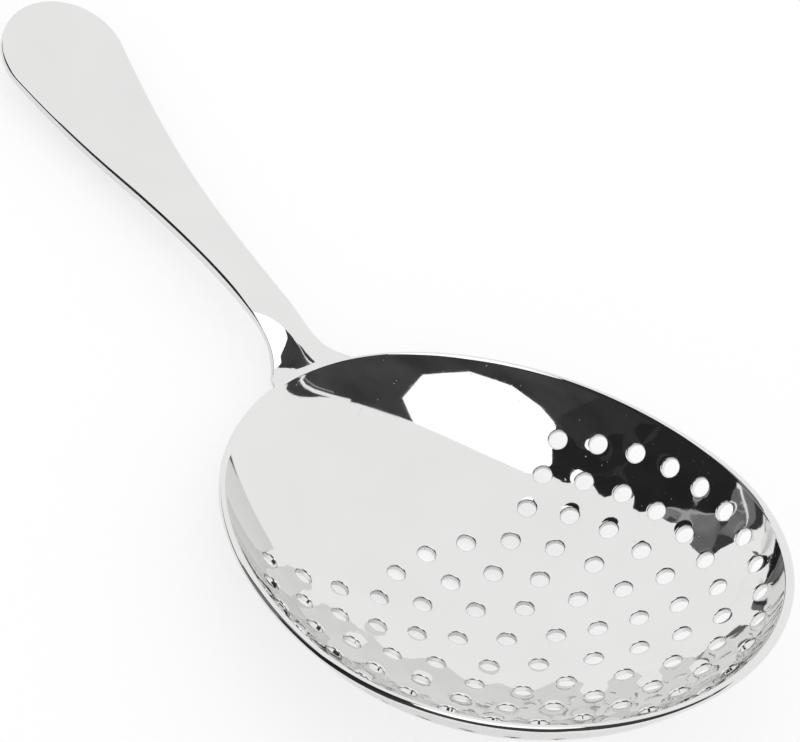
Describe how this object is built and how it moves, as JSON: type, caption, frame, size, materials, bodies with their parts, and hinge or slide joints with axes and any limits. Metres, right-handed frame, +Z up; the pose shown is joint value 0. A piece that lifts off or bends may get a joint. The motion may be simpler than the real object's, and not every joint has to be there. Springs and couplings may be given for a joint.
{
  "type": "julep strainer",
  "caption": "Polished steel julep strainer: an egg-shaped bowl with rings of round holes, and a spoon-like handle that springs from its rim.",
  "frame": {"origin": "on the table under the middle of the strainer's length, in its plane of symmetry", "axes": "+X from the bowl towards the tip of the handle, +Y to the left when looking along +X, +Z up, away from the table, with the bowl open upwards"},
  "size_m": [0.1678, 0.08, 0.0329],
  "materials": {
    "steel": "mirror-polished stainless steel"
  },
  "bodies": {
    "root": {"strainer": "steel"}
  },
  "joints": []
}
